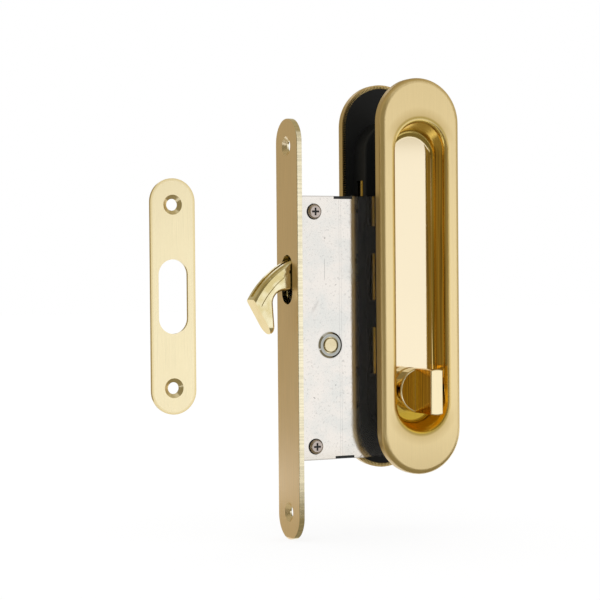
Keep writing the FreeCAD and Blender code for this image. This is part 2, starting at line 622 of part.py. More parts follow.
def all_pieces():
    pieces = {"forend": forend(), "case_tray": case_tray(), "case_cover": case_cover()}
    pieces.update(corner_pieces())
    pieces["hook_bolt"] = hook_bolt()
    pieces["hook_pivot_pin"] = pivot_pin()
    pieces["hook_tail_pin"] = tail_pin()
    pieces["drive_slide"] = drive_slide()
    pieces["slide_guide_pin_front"] = guide_pin(GUIDE_X[0])
    pieces["slide_guide_pin_rear"] = guide_pin(GUIDE_X[1])
    pieces["follower_hub"] = follower_hub()
    pieces["square_spindle"] = square_spindle()
    pieces["front_pull_shell"] = front_pull_shell()
    pieces["front_pull_backing"] = front_pull_backing()
    pieces["back_pull_shell"] = back_pull_shell()
    pieces["back_pull_backing"] = back_pull_backing()
    pieces["thumb_turn"] = turn_knob()
    pieces["thumb_turn_clip"] = shaft_clip()
    pieces["emergency_release"] = emergency_release()
    pieces["release_clip"] = mirrored(shaft_clip())
    for name, dz in zip(("upper", "lower"), FIXING_DZ):
        pieces["fixing_sleeve_" + name] = fixing_sleeve(PULL_Z + dz)
        pieces["through_screw_" + name] = through_screw(PULL_Z + dz)
    pieces["strike_plate"] = strike_plate()
    return pieces


os.makedirs("parts", exist_ok=True)
for node, shape in all_pieces().items():
    solids = len(shape.Solids)
    print(node, "solids", solids, "valid", shape.isValid(), "volume", round(shape.Volume, 1))
    shape.exportStep("parts/" + node + ".step")
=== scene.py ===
import math

import bpy
from mathutils import Matrix, Vector


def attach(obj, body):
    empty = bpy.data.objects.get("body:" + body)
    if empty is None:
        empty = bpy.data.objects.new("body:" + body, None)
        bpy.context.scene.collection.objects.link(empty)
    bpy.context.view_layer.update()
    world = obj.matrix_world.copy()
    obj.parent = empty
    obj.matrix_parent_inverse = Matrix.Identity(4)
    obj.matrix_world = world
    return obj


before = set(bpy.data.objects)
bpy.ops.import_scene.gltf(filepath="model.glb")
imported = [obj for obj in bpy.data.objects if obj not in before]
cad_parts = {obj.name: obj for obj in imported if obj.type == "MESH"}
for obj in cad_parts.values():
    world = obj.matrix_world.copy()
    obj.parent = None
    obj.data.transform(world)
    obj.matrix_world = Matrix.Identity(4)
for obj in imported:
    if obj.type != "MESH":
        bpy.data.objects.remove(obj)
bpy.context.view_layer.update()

# Camera: the photographer stood left of the lock, a little above the middle of the forend, with a long lens.
# Its place, turn and lens come from a fit of the lock's known points to the photograph.
CAMERA_PLACE = Vector((-0.3653, -0.76944, 0.02845))
CAMERA_TURN = math.radians(25.628)
CAMERA_PITCH = math.radians(-1.021)
CAMERA_ROLL = math.radians(-0.475)
FOCAL_PIXELS = 1876.09
PHOTO_PIXELS = 600
SENSOR_WIDTH = 36.0

ahead = Vector((math.sin(CAMERA_TURN) * math.cos(CAMERA_PITCH),
                math.cos(CAMERA_TURN) * math.cos(CAMERA_PITCH), math.sin(CAMERA_PITCH)))
level = ahead.cross(Vector((0, 0, 1))).normalized()
upright = level.cross(ahead)
right = level * math.cos(CAMERA_ROLL) + upright * math.sin(CAMERA_ROLL)
up = right.cross(ahead)
camera = bpy.data.objects.new("camera", bpy.data.cameras.new("camera"))
camera.data.sensor_width = SENSOR_WIDTH
camera.data.lens = FOCAL_PIXELS / PHOTO_PIXELS * SENSOR_WIDTH
camera.matrix_world = Matrix.Translation(CAMERA_PLACE) @ Matrix((right, up, -ahead)).transposed().to_4x4()
bpy.context.scene.collection.objects.link(camera)
bpy.context.scene.camera = camera
bpy.context.scene.view_settings.view_transform = "Standard"

# Studio floor: pale paper just under the lower end of the forend, in a white room at a plain level.
# It takes the set's light and shadow as a matt sheet, and shows white to the camera, to gloss and to glass.
FLOOR_Z = -0.0956
FLOOR_REACH = (-4, 4)
PAPER_MATT = (0.95, 0.95, 0.95, 1.0)
PAPER_GLOW = 1.03
GLOW_SHARE = 0.8
WHITE = (1.0, 1.0, 1.0, 1.0)

world = bpy.data.worlds.new("studio")
bpy.context.scene.world = world
world.use_nodes = True
world.node_tree.nodes["Background"].inputs["Color"].default_value = WHITE
world.node_tree.nodes["Background"].inputs["Strength"].default_value = 1.0


def set_sockets(tree, node, values):
    for key, value in values.items():
        if isinstance(value, bpy.types.NodeSocket):
            tree.links.new(value, node.inputs[key])
        else:
            node.inputs[key].default_value = value


def add_node(tree, kind, values, **settings):
    node = tree.nodes.new(kind)
    for name, value in settings.items():
        setattr(node, name, value)
    set_sockets(tree, node, values)
    return node


def worked(tree, operation, *values):
    return add_node(tree, "ShaderNodeMath", dict(enumerate(values)), operation=operation).outputs[0]


def bare_paint(name):
    paint = bpy.data.materials.new(name)
    paint.use_nodes = True
    tree = paint.node_tree
    tree.nodes.remove(tree.nodes["Principled BSDF"])
    return paint, tree, tree.nodes["Material Output"]


def flat_sheet(name, corners):
    mesh = bpy.data.meshes.new(name)
    mesh.from_pydata(corners, [], [tuple(range(len(corners)))])
    sheet = bpy.data.objects.new(name, mesh)
    bpy.context.scene.collection.objects.link(sheet)
    return sheet


def lying_corners(across, deep, heights):
    return [(across[0], deep[0], heights[0]), (across[1], deep[0], heights[0]),
            (across[1], deep[1], heights[1]), (across[0], deep[1], heights[1])]


floor = flat_sheet("studio_floor", lying_corners(FLOOR_REACH, FLOOR_REACH, (FLOOR_Z, FLOOR_Z)))
paper, tree, output = bare_paint("pale_floor")
matt = add_node(tree, "ShaderNodeBsdfDiffuse", {"Color": PAPER_MATT})
glow = add_node(tree, "ShaderNodeEmission", {"Color": WHITE, "Strength": PAPER_GLOW})
rays = add_node(tree, "ShaderNodeLightPath", {}).outputs
seen = worked(tree, "MAXIMUM", rays["Is Camera Ray"], rays["Is Glossy Ray"])
seen = worked(tree, "MAXIMUM", seen, rays["Is Transmission Ray"])
share = worked(tree, "MULTIPLY", seen, GLOW_SHARE)
blend = add_node(tree, "ShaderNodeMixShader", {0: share, 1: matt.outputs[0], 2: glow.outputs[0]})
set_sockets(tree, output, {"Surface": blend.outputs[0]})
floor.data.materials.append(paper)

# Studio cards: dim cloths in brown, ochre, buff and grey that hang round and over the set and lie on the table.
# Only gloss sees them: they give the brass its darker sides, and the zinc its dark band at the pulls.
BROWN_CLOTH = (0.25, 0.215, 0.13)
TABLE_CLOTH = (0.26, 0.22, 0.13)
OCHRE_CLOTH = (0.44, 0.385, 0.255)
BUFF_CLOTH = (0.50, 0.44, 0.30)
WARM_BUFF_CLOTH = (0.50, 0.44, 0.28)
ROOF_CLOTH = (0.40, 0.34, 0.21)
LOW_ROOF_CLOTH = (0.62, 0.59, 0.52)
GREY_CLOTH = (0.74, 0.71, 0.65)
PALE_CLOTH = (0.90, 0.88, 0.84)
SET_MIDDLE_X = 0.03
WALL_HEIGHTS = (-0.9, 0.9)
ROOF_ACROSS = (-1.2, 1.2)
TABLE_Z = FLOOR_Z + 0.001


def hang_card(name, corners, shade):
    card = flat_sheet(name, corners)
    card.visible_camera = False
    card.visible_shadow = False
    card.visible_diffuse = False
    cloth, tree, output = bare_paint(name + "_cloth")
    light = add_node(tree, "ShaderNodeEmission", {"Color": (*shade, 1.0), "Strength": 1.0})
    set_sockets(tree, output, {"Surface": light.outputs[0]})
    card.data.materials.append(cloth)


def standing_corners(azimuths, heights, distance):
    corners = []
    for side, height in ((0, 0), (1, 0), (1, 1), (0, 1)):
        angle = math.radians(azimuths[side])
        corners.append((SET_MIDDLE_X + math.sin(angle) * distance, -math.cos(angle) * distance, heights[height]))
    return corners


for name, azimuths, heights, distance, shade in (
        ("camera_side_card", (-84, 9), WALL_HEIGHTS, 1.2, BROWN_CLOTH),
        ("far_left_card", (-180, -84), WALL_HEIGHTS, 1.2, OCHRE_CLOTH),
        ("far_right_card", (50, 165), WALL_HEIGHTS, 1.2, BUFF_CLOTH),
        ("high_right_card", (9, 50), (0.16, 0.60), 1.3, GREY_CLOTH),
        ("upper_right_card", (0, 60), (0.60, 1.20), 1.32, WARM_BUFF_CLOTH)):
    hang_card(name, standing_corners(azimuths, heights, distance), shade)
for name, across, deep, heights, shade in (
        ("low_roof_card", ROOF_ACROSS, (-1.0, -0.62), (0.62, 0.92), LOW_ROOF_CLOTH),
        ("high_roof_card", ROOF_ACROSS, (-0.62, 1.4), (0.92, 1.0), ROOF_CLOTH),
        ("near_table_card", (-0.3, 0.3), (-0.16, -0.005), (TABLE_Z, TABLE_Z), TABLE_CLOTH),
        ("camera_table_card", (-1.0, 0.02), (-1.3, -0.22), (TABLE_Z, TABLE_Z), BROWN_CLOTH),
        ("right_table_card", (0.05, 0.5), (-0.34, -0.16), (TABLE_Z, TABLE_Z), PALE_CLOTH),
        ("left_table_card", (-0.9, -0.11), (0.02, 0.9), (TABLE_Z, TABLE_Z), OCHRE_CLOTH),
        ("jamb_table_card", (-0.11, 0.03), (-0.005, 0.13), (TABLE_Z, TABLE_Z), BUFF_CLOTH)):
    hang_card(name, lying_corners(across, deep, heights), shade)

# Forend: blanked steel strip, brass-plated and brushed along its length, screwed into the edge of the door.
# The brushing shows as fine upright lines; the blanked edges are paler and brighter, with fine ribs across them.
FOREND_GOLD = (0.95, 0.75, 0.50, 1.0)
FOREND_DEEP = (0.91, 0.71, 0.46, 1.0)
FOREND_EDGE = (0.94, 0.86, 0.63, 1.0)
FOREND_FRONT = (-1.0, 0.0, 0.0)
LINES_UPRIGHT = (1.0, 1.0, 0.02)
RIBS_LEVEL = (0.02, 0.02, 1.0)
BRUSH_SCALE = 2600.0
CLOUD_SCALE = 45.0
RIB_SCALE = 1100.0
BRUSH_SPREAD = (0.3, 0.7)
RIB_SPREAD = (0.35, 0.65)
RIB_TONES = (0.84, 1.06)
EDGE_TURN = (0.60, 0.82)
FOREND_ROUGHNESS = 0.36
FOREND_GRAIN = 0.05
EDGE_ROUGHNESS = 0.18


def start_finish(name):
    finish = bpy.data.materials.new(name)
    finish.use_nodes = True
    tree = finish.node_tree
    place = add_node(tree, "ShaderNodeTexCoord", {}).outputs
    return finish, tree, tree.nodes["Principled BSDF"], place


def speckle(tree, place, scale, detail, roughness=0.5):
    values = {"Vector": place, "Scale": scale, "Detail": detail, "Roughness": roughness}
    return add_node(tree, "ShaderNodeTexNoise", values).outputs["Fac"]


def stretched(tree, place, scale):
    return add_node(tree, "ShaderNodeMapping", {"Vector": place, "Scale": scale}).outputs[0]


def measured(tree, operation, *values):
    return add_node(tree, "ShaderNodeVectorMath", dict(enumerate(values)), operation=operation).outputs["Value"]


def shaded(tree, colour, strength):
    return add_node(tree, "ShaderNodeVectorMath", {0: colour, 3: strength}, operation="SCALE").outputs[0]


def faded(tree, value, bounds, ends=(0.0, 1.0)):
    values = {0: value, 1: bounds[0], 2: bounds[1], 3: ends[0], 4: ends[1]}
    return add_node(tree, "ShaderNodeMapRange", values).outputs[0]


def tinted(tree, share, base, other):
    return add_node(tree, "ShaderNodeMix", {0: share, 6: base, 7: other}, data_type="RGBA").outputs[2]


def between(tree, share, base, other):
    return add_node(tree, "ShaderNodeMix", {0: share, 2: base, 3: other}).outputs[0]


def pressed(tree, height, strength, distance, **under):
    values = {"Height": height, "Strength": strength, "Distance": distance, **under}
    return add_node(tree, "ShaderNodeBump", values).outputs[0]


def brushed_brass(name, gold, deep, edge, front, roughness, grain):
    finish, tree, shader, place = start_finish(name)
    lines = speckle(tree, stretched(tree, place["Object"], LINES_UPRIGHT), BRUSH_SCALE, 3.0)
    clouds = speckle(tree, place["Object"], CLOUD_SCALE, 2.0)
    ribs = speckle(tree, stretched(tree, place["Object"], RIBS_LEVEL), RIB_SCALE, 2.0)
    side = faded(tree, measured(tree, "DOT_PRODUCT", place["Normal"], front), EDGE_TURN, (1.0, 0.0))
    cut = shaded(tree, edge[:3], faded(tree, ribs, RIB_SPREAD, RIB_TONES))
    tone = tinted(tree, side, tinted(tree, clouds, gold, deep), cut)
    tone = shaded(tree, tone, faded(tree, lines, BRUSH_SPREAD, (1.0 - grain, 1.0 + grain)))
    rough = faded(tree, lines, BRUSH_SPREAD, (roughness * 0.85, roughness * 1.15))
    set_sockets(tree, shader, {"Base Color": tone, "Roughness": between(tree, side, rough, EDGE_ROUGHNESS),
                               "Normal": pressed(tree, lines, 0.12, 0.0001), "Metallic": 1.0})
    return finish


def dress(finish, *nodes):
    for node in nodes:
        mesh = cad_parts[node].data
        mesh.materials.clear()
        mesh.materials.append(finish)


forend_brass = brushed_brass("forend_brass", FOREND_GOLD, FOREND_DEEP, FOREND_EDGE, FOREND_FRONT,
                             FOREND_ROUGHNESS, FOREND_GRAIN)
dress(forend_brass, "forend")

# Strike plate: blanked and brushed brass plate, let in flush to the jamb and held by two countersunk screws.
# It stands beside the lock, as the set is laid out for sale; a darker gold along its outer edge is painted shade.
STRIKE_X = -0.058
STRIKE_Z = 0.0157
STRIKE_STRAIGHT = 0.0416
STRIKE_FRONT = (0.0, -1.0, 0.0)
STRIKE_GOLD = (0.98, 0.87, 0.58, 1.0)
STRIKE_DEEP = (0.95, 0.83, 0.54, 1.0)
STRIKE_EDGE = (0.76, 0.62, 0.34, 1.0)
STRIKE_ROUGHNESS = 0.20
STRIKE_GRAIN = 0.06
OUTLINE_SHADE_GOLD = (0.74, 0.58, 0.26, 1.0)
OUTLINE_SHADE_REACH = (0.0092, 0.0105)
OUTLINE_SHADE_SHARE = (0.0, 0.75)


def split(tree, place):
    return add_node(tree, "ShaderNodeSeparateXYZ", {0: place}).outputs


def off_line(tree, value, line):
    return worked(tree, "ABSOLUTE", worked(tree, "SUBTRACT", value, line))


def past_straight(tree, height, middle, straight):
    return worked(tree, "MAXIMUM", worked(tree, "SUBTRACT", off_line(tree, height, middle), straight), 0.0)


def flat_length(tree, across, along):
    return measured(tree, "LENGTH", add_node(tree, "ShaderNodeCombineXYZ", {0: across, 1: along}).outputs[0])


strike_brass = brushed_brass("strike_brass", STRIKE_GOLD, STRIKE_DEEP, STRIKE_EDGE, STRIKE_FRONT,
                             STRIKE_ROUGHNESS, STRIKE_GRAIN)
tree = strike_brass.node_tree
shader = tree.nodes["Principled BSDF"]
parts = split(tree, add_node(tree, "ShaderNodeTexCoord", {}).outputs["Object"])
# Painted shade: a darker gold band along the plate's outer edge.
across = worked(tree, "SUBTRACT", parts[0], STRIKE_X)
reach = flat_length(tree, across, past_straight(tree, parts[2], STRIKE_Z, STRIKE_STRAIGHT))
brushed = shader.inputs["Base Color"].links[0].from_socket
outline_shaded = tinted(tree, faded(tree, reach, OUTLINE_SHADE_REACH, OUTLINE_SHADE_SHARE), brushed, OUTLINE_SHADE_GOLD)
set_sockets(tree, shader, {"Base Color": outline_shaded})
dress(strike_brass, "strike_plate")

# Lock case: tray and cover of bright zinc-plated sheet steel, screwed together over four posts.
# The zinc is glossy but uneven: warm and cool blooms, fine pits, dark spots, and a grey ring of painted shade on the
# pressed boss.
# It carries a scratch, a rub and a scored fold line, and the sheared edges at its top and foot are dark.
ZINC_WARM = (0.880, 0.835, 0.780, 1.0)
ZINC_COOL = (0.795, 0.790, 0.755, 1.0)
BLOOM_SCALE = 70.0
BLOOM_SPREAD = (0.42, 0.62)
PIT_SCALE = 900.0
PIT_SPREAD = (0.56, 0.72)
SPOT_SCALE = 330.0
SPOT_SPREAD = (0.69, 0.75)
SCRATCH_X = 0.0135
SCRATCH_Z = 0.0270
SCRATCH_WIDTH = (0.00006, 0.00022)
SCRATCH_LENGTH = (0.0040, 0.0055)
RUB = (0.0085, 0.0, 0.0100)
RUB_ALONG = (0.54, 0.0, 0.84)
RUB_BESIDE = (3.4, 0.0, -2.2)
RUB_REACH = (0.0015, 0.0045)
SCORE_X = 0.0215
SCORE_HALF = 0.0005
SCORE_WIDTH = (0.00005, 0.00022)
CASE_MIDDLE_Z = 0.0005
SHEARED_REACH = (0.0594, 0.0598)
BOSS_X = 0.0161
BOSS_Z = -0.0074
BOSS_SHADE_REACH = (0.0046, 0.0066)
BOSS_SHADE_GREY = (0.42, 0.43, 0.40, 1.0)
ZINC_ROUGHNESS = (0.07, 0.13)


def moved(tree, operation, *values):
    return add_node(tree, "ShaderNodeVectorMath", dict(enumerate(values)), operation=operation).outputs[0]


zinc, tree, shader, place = start_finish("zinc_sheet")
parts = split(tree, place["Object"])
bloom = faded(tree, speckle(tree, place["Object"], BLOOM_SCALE, 4.0, 0.6), BLOOM_SPREAD)
pits = speckle(tree, place["Object"], PIT_SCALE, 4.0, 0.7)
spots = speckle(tree, place["Object"], SPOT_SCALE, 2.0, 0.6)
thin = faded(tree, off_line(tree, parts[0], SCRATCH_X), SCRATCH_WIDTH, (1.0, 0.0))
short = faded(tree, off_line(tree, parts[2], SCRATCH_Z), SCRATCH_LENGTH, (0.34, 0.0))
from_rub = moved(tree, "SUBTRACT", place["Object"], RUB)
along = measured(tree, "DOT_PRODUCT", from_rub, RUB_ALONG)
beside = measured(tree, "DOT_PRODUCT", from_rub, RUB_BESIDE)
off_score = off_line(tree, off_line(tree, parts[0], SCORE_X), SCORE_HALF)
marks = (faded(tree, pits, PIT_SPREAD, (1.0, 0.76)),
         faded(tree, spots, SPOT_SPREAD, (1.0, 0.55)),
         worked(tree, "SUBTRACT", 1.0, worked(tree, "MULTIPLY", thin, short)),
         faded(tree, flat_length(tree, along, beside), RUB_REACH, (0.86, 1.0)),
         faded(tree, off_line(tree, parts[2], CASE_MIDDLE_Z), SHEARED_REACH, (1.0, 0.62)),
         faded(tree, off_score, SCORE_WIDTH, (0.88, 1.0)))
tone = tinted(tree, bloom, ZINC_WARM, ZINC_COOL)
for mark in marks:
    tone = shaded(tree, tone, mark)
# Painted shade: a grey ring on the pressed boss round the pivot.
reach = flat_length(tree, worked(tree, "SUBTRACT", parts[0], BOSS_X), worked(tree, "SUBTRACT", parts[2], BOSS_Z))
tone = tinted(tree, faded(tree, reach, BOSS_SHADE_REACH, (1.0, 0.0)), tone, BOSS_SHADE_GREY)
set_sockets(tree, shader, {"Base Color": tone, "Roughness": faded(tree, bloom, (0.0, 1.0), ZINC_ROUGHNESS),
                           "Normal": pressed(tree, pits, 0.05, 0.0002), "Metallic": 0.965})
dress(zinc, "case_tray", "case_cover")

# Case tabs: the ends of two tabs of the tray that stand in the cover's notches, coloured near-black as painted shade
# in the notches.
# They are part of the tray's sheet and lie a hair below the cover's face.
NOTCH_X = (0.0184, 0.0280)
TAB_Y = (-0.0056, -0.0030)
TAB_DEPTH = 0.0014
TAB_GAP = 0.0001
TAB_CHAMFER = 0.0001
CASE_TOP_Z = 0.0605
CASE_FOOT_Z = -0.0595
SHADE_DARKEST = (0.010, 0.011, 0.012, 1.0)
SHADE_DARK_GREY = (0.05, 0.05, 0.05, 1.0)


def grained_steel(name, dark, light, scale, press, sockets):
    finish, tree, shader, place = start_finish(name)
    grain = speckle(tree, place["Object"], scale, 3.0)
    set_sockets(tree, shader, {"Base Color": tinted(tree, grain, dark, light), **sockets})
    if press:
        set_sockets(tree, shader, {"Normal": pressed(tree, grain, press, 0.0001)})
    return finish


# A near-black finish for painted shade: the tabs in the notches, the crosses of two screw heads and the rings round
# them.
shade_black = grained_steel("near_black_shade", SHADE_DARKEST, SHADE_DARK_GREY, 1200.0, 0.2,
                            {"Roughness": 0.45, "Specular IOR Level": 0.2})


def solid_piece(name, points, faces, finish, body):
    mesh = bpy.data.meshes.new(name)
    mesh.from_pydata(points, [], faces)
    mesh.materials.append(finish)
    piece = bpy.data.objects.new(name, mesh)
    bpy.context.scene.collection.objects.link(piece)
    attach(piece, body)


def chamfered_block(low, high, cut):
    points = []
    for y, inset in ((low[1], cut), (low[1] + cut, 0.0), (high[1], 0.0)):
        for x, z in ((low[0] + inset, low[2] + inset), (high[0] - inset, low[2] + inset),
                     (high[0] - inset, high[2] - inset), (low[0] + inset, high[2] - inset)):
            points.append((x, y, z))
    faces = [(0, 1, 2, 3), (11, 10, 9, 8)]
    for ring in (0, 4):
        for i in range(4):
            j = (i + 1) % 4
            faces.append((ring + j, ring + i, ring + 4 + i, ring + 4 + j))
    return points, faces


for name, end, sign in (("case_tab_upper", CASE_TOP_Z, 1), ("case_tab_lower", CASE_FOOT_Z, -1)):
    bottom, top = sorted((end - sign * TAB_GAP, end - sign * TAB_DEPTH))
    points, faces = chamfered_block((NOTCH_X[0] + TAB_GAP, TAB_Y[0], bottom), (NOTCH_X[1] - TAB_GAP, TAB_Y[1], top),
                                    TAB_CHAMFER)
    solid_piece(name, points, faces, shade_black, "lock")

# Case screws, posts and through screws: small plated steel parts; the case screws hold the cover on the tray.
# Their plating is a warmer, slightly pink grey than the zinc of the sheet.
# Two of the case screws have a black sheet in the cross of the head, painted shade in the recess, and a black ring
# round the head, a painted contact shadow.
SCREW_X = 0.0084
SCREW_Z = (("upper", 0.0533), ("lower", -0.0533))
CROSS_SHADE_HALF_LENGTH = 0.00172
CROSS_SHADE_HALF_WIDTH = 0.00043
CROSS_SHADE_Y = (-0.00695, -0.00625)
SHADOW_RING_RADII = (0.00327, 0.00365)
SHADOW_RING_Y = (-0.00590, -0.00581)
SHADOW_RING_STEPS = 48
SCREW_DARK = (0.50, 0.43, 0.40, 1.0)
SCREW_LIGHT = (0.66, 0.59, 0.56, 1.0)

screw_steel = grained_steel("screw_steel", SCREW_DARK, SCREW_LIGHT, 1500.0, 0.15, {"Metallic": 1.0, "Roughness": 0.28})
for kind in ("case_post", "case_screw"):
    for side in ("front", "rear"):
        dress(screw_steel, kind + "_" + side + "_upper", kind + "_" + side + "_lower")
dress(screw_steel, "through_screw_upper", "through_screw_lower")


def cross_points(x, z, half_length, half_width, y):
    corners = [(half_width, half_length), (half_width, half_width), (half_length, half_width)]
    corners += [(half_length, -half_width), (half_width, -half_width), (half_width, -half_length)]
    corners += [(-a, -b) for a, b in corners]
    return [(x + a, y, z + b) for a, b in corners]


# Painted shade: a thin black sheet that fills the cross of the head.
def cross_shade_sheet(name, z):
    points = []
    for y in CROSS_SHADE_Y:
        points += cross_points(SCREW_X, z, CROSS_SHADE_HALF_LENGTH, CROSS_SHADE_HALF_WIDTH, y)
    count = len(points) // 2
    faces = [tuple(range(count)), tuple(range(2 * count - 1, count - 1, -1))]
    faces += [((i + 1) % count, i, count + i, count + (i + 1) % count) for i in range(count)]
    solid_piece(name, points, faces, shade_black, "lock")


# Painted shadow: a thin black ring on the cover round the head.
def shadow_ring_sheet(name, z):
    points = []
    for y, radius in ((SHADOW_RING_Y[0], SHADOW_RING_RADII[0]), (SHADOW_RING_Y[0], SHADOW_RING_RADII[1]), (SHADOW_RING_Y[1], SHADOW_RING_RADII[1]),
                      (SHADOW_RING_Y[1], SHADOW_RING_RADII[0])):
        for i in range(SHADOW_RING_STEPS):
            angle = 2 * math.pi * i / SHADOW_RING_STEPS
            points.append((SCREW_X + radius * math.cos(angle), y, z + radius * math.sin(angle)))
    faces = []
    for ring in range(4):
        start = ring * SHADOW_RING_STEPS
        below = (ring + 1) % 4 * SHADOW_RING_STEPS
        for i in range(SHADOW_RING_STEPS):
            j = (i + 1) % SHADOW_RING_STEPS
            faces.append((start + i, start + j, below + j, below + i))
    solid_piece(name, points, faces, shade_black, "lock")


for height, z in SCREW_Z:
    cross_shade_sheet("case_screw_dirt_" + height, z)
    shadow_ring_sheet("case_screw_oil_" + height, z)

# Mechanism: bare turned and stamped steel inside the case, seen only through its slots.
# Hub, slide, pins, spindle and clips share the same drawn-steel finish.
DRAWN_DARK = (0.42, 0.41, 0.40, 1.0)
DRAWN_LIGHT = (0.60, 0.59, 0.57, 1.0)

drawn_steel = grained_steel("drawn_steel", DRAWN_DARK, DRAWN_LIGHT, 900.0, 0.0, {"Metallic": 1.0, "Roughness": 0.38})
dress(drawn_steel, "drive_slide", "slide_guide_pin_front", "slide_guide_pin_rear", "follower_hub",
      "square_spindle", "thumb_turn_clip", "release_clip", "hook_tail_pin")

# Hook bolt: cast brass, tumbled and polished, on a turned brass pivot that shows in the embossed boss.
# The casting has a faint orange-peel ripple and darker patches in its gloss; its end face is painted a darker, browner
# gold, a painted shade.
HOOK_GOLD = (0.94, 0.86, 0.58, 1.0)
HOOK_DEEP = (0.74, 0.62, 0.30, 1.0)
HOOK_END_SHADE = (0.80, 0.62, 0.27, 1.0)
HOOK_PATCHES = (0.46, 0.64)
HOOK_ROUGHNESS = 0.15
HOOK_RIPPLE = 0.20
PIN_GOLD = (0.86, 0.76, 0.52, 1.0)
PIN_DEEP = (0.78, 0.67, 0.42, 1.0)
PIN_ROUGHNESS = 0.22
PIN_RIPPLE = 0.05
PEEL_SCALE = 500.0
PATCH_SCALE = 120.0
PATCH_SPREAD = (0.3, 0.7)
HOOK_SHADE_FACING = (-0.87, 0.0, -0.49)
HOOK_SHADE_TURN = (0.80, 0.93)
HOOK_SHADE_SHARE = (0.0, 0.85)


def polished_brass(name, gold, deep, facing_shade, roughness, ripple, patches):
    finish, tree, shader, place = start_finish(name)
    peel = speckle(tree, place["Object"], PEEL_SCALE, 2.0)
    clouds = speckle(tree, place["Object"], PATCH_SCALE, 3.0)
    tone = tinted(tree, faded(tree, clouds, patches), gold, deep)
    # Painted shade: faces turned like the hook's end face get a darker, browner gold.
    facing = measured(tree, "DOT_PRODUCT", place["Normal"], HOOK_SHADE_FACING)
    tone = tinted(tree, faded(tree, facing, HOOK_SHADE_TURN, HOOK_SHADE_SHARE), tone, facing_shade)
    rough = faded(tree, clouds, PATCH_SPREAD, (roughness * 0.8, roughness * 1.2))
    set_sockets(tree, shader, {"Base Color": tone, "Roughness": rough,
                               "Normal": pressed(tree, peel, ripple, 0.0002), "Metallic": 1.0})
    return finish


cast_brass = polished_brass("hook_brass", HOOK_GOLD, HOOK_DEEP, HOOK_END_SHADE,
                            HOOK_ROUGHNESS, HOOK_RIPPLE, HOOK_PATCHES)
pin_brass = polished_brass("pin_brass", PIN_GOLD, PIN_DEEP, PIN_GOLD, PIN_ROUGHNESS, PIN_RIPPLE, PATCH_SPREAD)
dress(cast_brass, "hook_bolt")
dress(pin_brass, "hook_pivot_pin", "fixing_sleeve_upper", "fixing_sleeve_lower")

# Pull backing: black moulded plastic inside the rim of each pull, with a windowed box round the pan.
# Its surface has a fine spark-eroded texture under a little dust; the skin's teeth hold it in the shell.
PLASTIC_BLACK = (0.006, 0.007, 0.008, 1.0)
PLASTIC_DUSTY = (0.011, 0.012, 0.013, 1.0)
SPARK_SCALE = 2200.0
DUST_SCALE = 90.0

plastic, tree, shader, place = start_finish("black_backing")
dust = speckle(tree, place["Object"], DUST_SCALE, 3.0)
spark = speckle(tree, place["Object"], SPARK_SCALE, 2.0)
set_sockets(tree, shader, {"Base Color": tinted(tree, dust, PLASTIC_BLACK, PLASTIC_DUSTY),
                           "Normal": pressed(tree, spark, 0.06, 0.00005),
                           "Roughness": 0.55, "Specular IOR Level": 0.25})
dress(plastic, "front_pull_backing", "back_pull_backing")

# Pull shells: one deep-drawn brass skin each, brushed upright on the face and polished in the finger recess.
# The drawing leaves upright lines and a deeper gold on the recess walls, and hazy, bowl-shaped recess ends.
# The lip and the outer rim are darker: painted shade, and on the lip partly its own deeper gold; the hidden side that
# faces the backing is left dull.
PULL_X = 0.0549
PULL_Z = 0.0235
PAN_STRAIGHT = 0.0581
PAN_FLOOR = 0.0121
FLOOR_STRAIGHT = 0.0510
FLOOR_SHIFT = 0.0025
RECESS_REACH = (0.0140, 0.0130)
LIP_REACH = (0.0152, 0.0143)
RECESS_END_SHADE_REACH = (0.0148, 0.0192)
RIM_SHADE_REACH = (0.0188, 0.0194)
RIM_SHADE_DEPTH = (0.0214, 0.0200)
BEND_REACH = (0.0104, 0.0111)
MOUTH_DEPTH = (0.0216, 0.0206)
WALL_DEPTH = (PAN_FLOOR + 0.0001, PAN_FLOOR + 0.0012)
FOOT_SHADE_DEPTH = (PAN_FLOOR + 0.0002, PAN_FLOOR + 0.0016)
END_REACH = (0.002, 0.007)
CAP_REACH = (0.002, 0.010)
LOWER_END = (PULL_Z - 0.058, PULL_Z - 0.063)
HIDDEN_INNER = (0.01268, 0.01276)
HIDDEN_OUTER = (0.0150, 0.0152)
HIDDEN_DEPTH = (0.0190, 0.0194)
FACE_GOLD = (0.94, 0.765, 0.425, 1.0)
RECESS_END_SHADE_GOLD = (0.62, 0.45, 0.17, 1.0)
LIP_GOLD = (0.86, 0.64, 0.24, 1.0)
LIP_SHADE = (0.50, 0.37, 0.11, 1.0)
RIM_SHADE_GOLD = (0.68, 0.51, 0.25, 1.0)
FLOOR_GOLD = (0.96, 0.84, 0.61, 1.0)
WALL_GOLD = (0.82, 0.56, 0.12, 1.0)
END_GOLD = (0.95, 0.72, 0.22, 1.0)
LOW_GOLD = (0.98, 0.66, 0.08, 1.0)
BACK_GOLD = (0.42, 0.31, 0.12, 1.0)
FACE_SCALE = 2400.0
DRAW_SCALE = 700.0
SWIRL_SCALE = 95.0
SWIRL_HEIGHT = 2.0
FACE_ROUGHNESS = 0.33
RECESS_ROUGHNESS = (0.07, 0.20)
BOWL_LEAN = (-0.28, 0.0, 0.0)
LOWER_LEAN = 0.38


